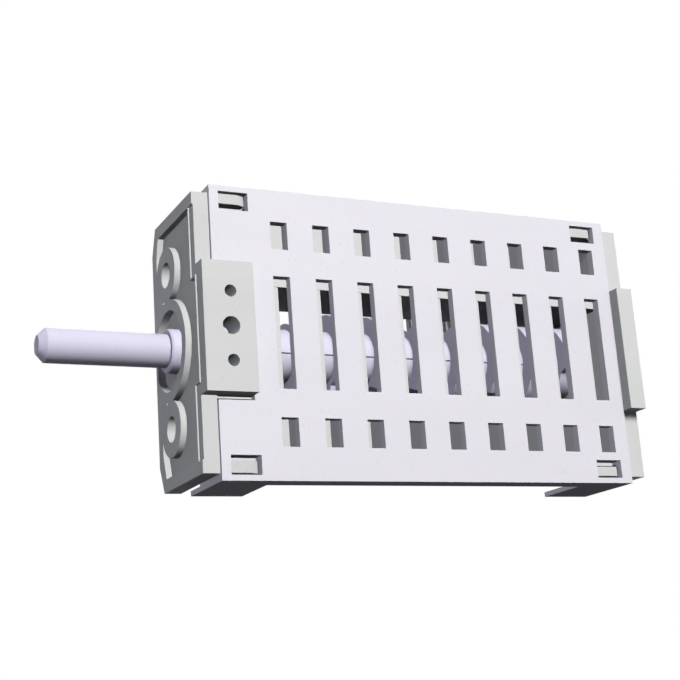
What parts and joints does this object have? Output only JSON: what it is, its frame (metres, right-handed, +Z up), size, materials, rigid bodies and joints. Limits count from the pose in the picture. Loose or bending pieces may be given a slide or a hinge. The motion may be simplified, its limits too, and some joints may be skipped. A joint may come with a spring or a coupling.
{
  "type": "rotary cam oven switch",
  "caption": "Long rotary cam switch with a D-shaped shaft, a slotted moulded housing, grey end plates with two screw holes and side tabs, and cams, blades and push-on tabs inside.",
  "frame": {"origin": "on the shaft axis, in the front face of the front plate, midway between its two screw holes", "axes": "+X towards the slotted near face, +Y back along the shaft into the body, +Z up along the screw holes"},
  "size_m": [0.0313, 0.1113, 0.0514],
  "materials": {
    "housing": "satin moulded thermoset",
    "rotor": "satin moulded plastic",
    "plate_grey": "satin moulded plastic",
    "plunger": "smooth moulded plastic",
    "shaft_plastic": "satin moulded thermoset",
    "spring_steel": "drawn wire",
    "terminal_metal": "stamped, plated",
    "blade_bronze": "rolled strip",
    "rivet_metal": "turned"
  },
  "bodies": {
    "housing": {"front_plate": "plate_grey", "rear_plate": "plate_grey", "contact_carrier": "plate_grey", "cover_shell": "housing", "base_shell": "housing", "detent_spring_upper": "spring_steel", "detent_spring_lower": "spring_steel", "upper_terminal_1": "terminal_metal", "upper_terminal_2": "terminal_metal", "upper_terminal_3": "terminal_metal", "upper_terminal_4": "terminal_metal", "upper_terminal_5": "terminal_metal", "upper_terminal_6": "terminal_metal", "upper_terminal_7": "terminal_metal", "upper_terminal_8": "terminal_metal", "upper_terminal_9": "terminal_metal", "lower_terminal_1": "terminal_metal", "lower_terminal_2": "terminal_metal", "lower_terminal_3": "terminal_metal", "lower_terminal_4": "terminal_metal", "lower_terminal_5": "terminal_metal", "lower_terminal_6": "terminal_metal", "lower_terminal_7": "terminal_metal", "lower_terminal_8": "terminal_metal", "lower_terminal_9": "terminal_metal", "contact_blade_1": "blade_bronze", "contact_blade_2": "blade_bronze", "contact_blade_3": "blade_bronze", "contact_blade_4": "blade_bronze", "contact_blade_5": "blade_bronze", "contact_blade_6": "blade_bronze", "contact_blade_7": "blade_bronze", "contact_blade_8": "blade_bronze", "contact_blade_9": "blade_bronze", "blade_rivet_1": "rivet_metal", "blade_rivet_2": "rivet_metal", "blade_rivet_3": "rivet_metal", "blade_rivet_4": "rivet_metal", "blade_rivet_5": "rivet_metal", "blade_rivet_6": "rivet_metal", "blade_rivet_7": "rivet_metal", "blade_rivet_8": "rivet_metal", "blade_rivet_9": "rivet_metal"},
    "rotor": {"camshaft": "rotor", "selector_shaft": "shaft_plastic"},
    "upper_plunger": {"detent_plunger_upper": "plunger"},
    "lower_plunger": {"detent_plunger_lower": "plunger"}
  },
  "joints": [
    {"name": "shaft_turn", "type": "hinge", "parent": "housing", "child": "rotor", "pos_m": [0, 0, 0], "axis": [0, 1, 0], "continuous": true},
    {"name": "upper_plunger_slide", "type": "slide", "parent": "housing", "child": "upper_plunger", "axis": [0, 0, 1], "range_m": [0, 0.0012], "stiffness_N_per_m": 1500, "springref_m": -0.0015, "deforming": ["detent_spring_upper"]},
    {"name": "lower_plunger_slide", "type": "slide", "parent": "housing", "child": "lower_plunger", "axis": [0, 0, -1], "range_m": [0, 0.0012], "stiffness_N_per_m": 1500, "springref_m": -0.0015, "deforming": ["detent_spring_lower"]}
  ]
}
